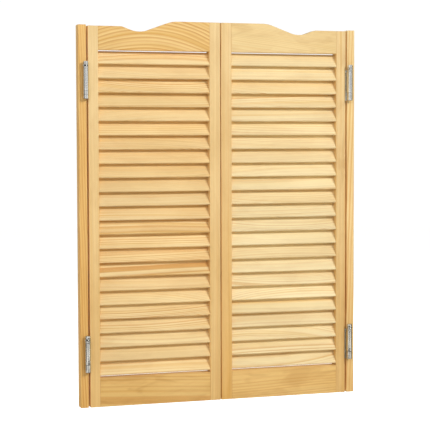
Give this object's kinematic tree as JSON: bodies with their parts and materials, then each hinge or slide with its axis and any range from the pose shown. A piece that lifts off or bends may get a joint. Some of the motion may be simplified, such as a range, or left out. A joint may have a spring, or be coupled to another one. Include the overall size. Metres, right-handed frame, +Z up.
{
  "type": "cafe swinging doors",
  "caption": "Pair of louvred pine cafe doors with scalloped tops, hung from narrow jamb strips on double-action spring hinges that open both ways and swing shut.",
  "frame": {"origin": "on the level of the doors' bottom edges, midway between the two jamb strips and midway through the doors' thickness", "axes": "+X across the opening to the right, +Y through the opening away from the viewer, +Z up"},
  "size_m": [0.813, 0.0714, 1.067],
  "materials": {
    "pine_strip": "planed, unfinished",
    "pine_stile": "sanded, unfinished",
    "pine_rail": "sanded, unfinished",
    "pine_slat": "sanded, unfinished",
    "beech_dowel": "glued in",
    "zinc_plate": "bright zinc plate",
    "zinc_barrel": "bright zinc plate",
    "spring_steel": "oiled spring steel",
    "screw_steel": "zinc plated"
  },
  "bodies": {
    "root": {"left_jamb_strip": "pine_strip", "left_upper_jamb_leaf": "zinc_plate", "left_upper_front_spindle": "zinc_barrel", "left_lower_jamb_leaf": "zinc_plate", "left_lower_front_spindle": "zinc_barrel", "left_jamb_leaf_screws": "screw_steel", "right_jamb_strip": "pine_strip", "right_upper_jamb_leaf": "zinc_plate", "right_upper_front_spindle": "zinc_barrel", "right_lower_jamb_leaf": "zinc_plate", "right_lower_front_spindle": "zinc_barrel", "right_jamb_leaf_screws": "screw_steel"},
    "left_webs": {"left_upper_centre_web": "zinc_barrel", "left_upper_springs": "spring_steel", "left_lower_centre_web": "zinc_barrel", "left_lower_springs": "spring_steel"},
    "left_door": {"left_hinge_stile": "pine_stile", "left_meeting_stile": "pine_stile", "left_top_rail": "pine_rail", "left_bottom_rail": "pine_rail", "left_louvre_slats": "pine_slat", "left_rail_dowels": "beech_dowel", "left_upper_door_leaf": "zinc_plate", "left_upper_back_spindle": "zinc_barrel", "left_lower_door_leaf": "zinc_plate", "left_lower_back_spindle": "zinc_barrel", "left_door_leaf_screws": "screw_steel"},
    "right_webs": {"right_upper_centre_web": "zinc_barrel", "right_upper_springs": "spring_steel", "right_lower_centre_web": "zinc_barrel", "right_lower_springs": "spring_steel"},
    "right_door": {"right_hinge_stile": "pine_stile", "right_meeting_stile": "pine_stile", "right_top_rail": "pine_rail", "right_bottom_rail": "pine_rail", "right_louvre_slats": "pine_slat", "right_rail_dowels": "beech_dowel", "right_upper_door_leaf": "zinc_plate", "right_upper_back_spindle": "zinc_barrel", "right_lower_door_leaf": "zinc_plate", "right_lower_back_spindle": "zinc_barrel", "right_door_leaf_screws": "screw_steel"},
    "left_upper_front_collar": {"left_upper_front_collar": "zinc_barrel", "left_upper_front_pin": "zinc_barrel"},
    "left_upper_back_collar": {"left_upper_back_collar": "zinc_barrel", "left_upper_back_pin": "zinc_barrel"},
    "left_lower_front_collar": {"left_lower_front_collar": "zinc_barrel", "left_lower_front_pin": "zinc_barrel"},
    "left_lower_back_collar": {"left_lower_back_collar": "zinc_barrel", "left_lower_back_pin": "zinc_barrel"},
    "right_upper_front_collar": {"right_upper_front_collar": "zinc_barrel", "right_upper_front_pin": "zinc_barrel"},
    "right_upper_back_collar": {"right_upper_back_collar": "zinc_barrel", "right_upper_back_pin": "zinc_barrel"},
    "right_lower_front_collar": {"right_lower_front_collar": "zinc_barrel", "right_lower_front_pin": "zinc_barrel"},
    "right_lower_back_collar": {"right_lower_back_collar": "zinc_barrel", "right_lower_back_pin": "zinc_barrel"}
  },
  "joints": [
    {"name": "left_front_swing", "type": "hinge", "parent": "root", "child": "left_webs", "pos_m": [-0.3881, -0.0286, 0], "axis": [0, 0, 1], "range_deg": [-90, 0], "stiffness_Nm_per_rad": 1, "springref_deg": 28.65},
    {"name": "left_back_swing", "type": "hinge", "parent": "left_webs", "child": "left_door", "pos_m": [-0.3754, 0.0286, 0], "axis": [0, 0, 1], "range_deg": [0, 90], "stiffness_Nm_per_rad": 1, "springref_deg": -28.65},
    {"name": "left_upper_front_collar_turn", "type": "hinge", "parent": "root", "child": "left_upper_front_collar", "pos_m": [-0.3881, -0.0286, 0], "axis": [0, 0, 1], "range_deg": [0, 180]},
    {"name": "left_upper_back_collar_turn", "type": "hinge", "parent": "left_door", "child": "left_upper_back_collar", "pos_m": [-0.3754, 0.0286, 0], "axis": [0, 0, 1], "range_deg": [0, 180]},
    {"name": "left_lower_front_collar_turn", "type": "hinge", "parent": "root", "child": "left_lower_front_collar", "pos_m": [-0.3881, -0.0286, 0], "axis": [0, 0, 1], "range_deg": [0, 180]},
    {"name": "left_lower_back_collar_turn", "type": "hinge", "parent": "left_door", "child": "left_lower_back_collar", "pos_m": [-0.3754, 0.0286, 0], "axis": [0, 0, 1], "range_deg": [0, 180]},
    {"name": "right_front_swing", "type": "hinge", "parent": "root", "child": "right_webs", "pos_m": [0.3881, -0.0286, 0], "axis": [0, 0, 1], "range_deg": [0, 90], "stiffness_Nm_per_rad": 1, "springref_deg": -28.65},
    {"name": "right_back_swing", "type": "hinge", "parent": "right_webs", "child": "right_door", "pos_m": [0.3754, 0.0286, 0], "axis": [0, 0, 1], "range_deg": [-90, 0], "stiffness_Nm_per_rad": 1, "springref_deg": 28.65},
    {"name": "right_upper_front_collar_turn", "type": "hinge", "parent": "root", "child": "right_upper_front_collar", "pos_m": [0.3881, -0.0286, 0], "axis": [0, 0, 1], "range_deg": [0, 180]},
    {"name": "right_upper_back_collar_turn", "type": "hinge", "parent": "right_door", "child": "right_upper_back_collar", "pos_m": [0.3754, 0.0286, 0], "axis": [0, 0, 1], "range_deg": [0, 180]},
    {"name": "right_lower_front_collar_turn", "type": "hinge", "parent": "root", "child": "right_lower_front_collar", "pos_m": [0.3881, -0.0286, 0], "axis": [0, 0, 1], "range_deg": [0, 180]},
    {"name": "right_lower_back_collar_turn", "type": "hinge", "parent": "right_door", "child": "right_lower_back_collar", "pos_m": [0.3754, 0.0286, 0], "axis": [0, 0, 1], "range_deg": [0, 180]}
  ]
}
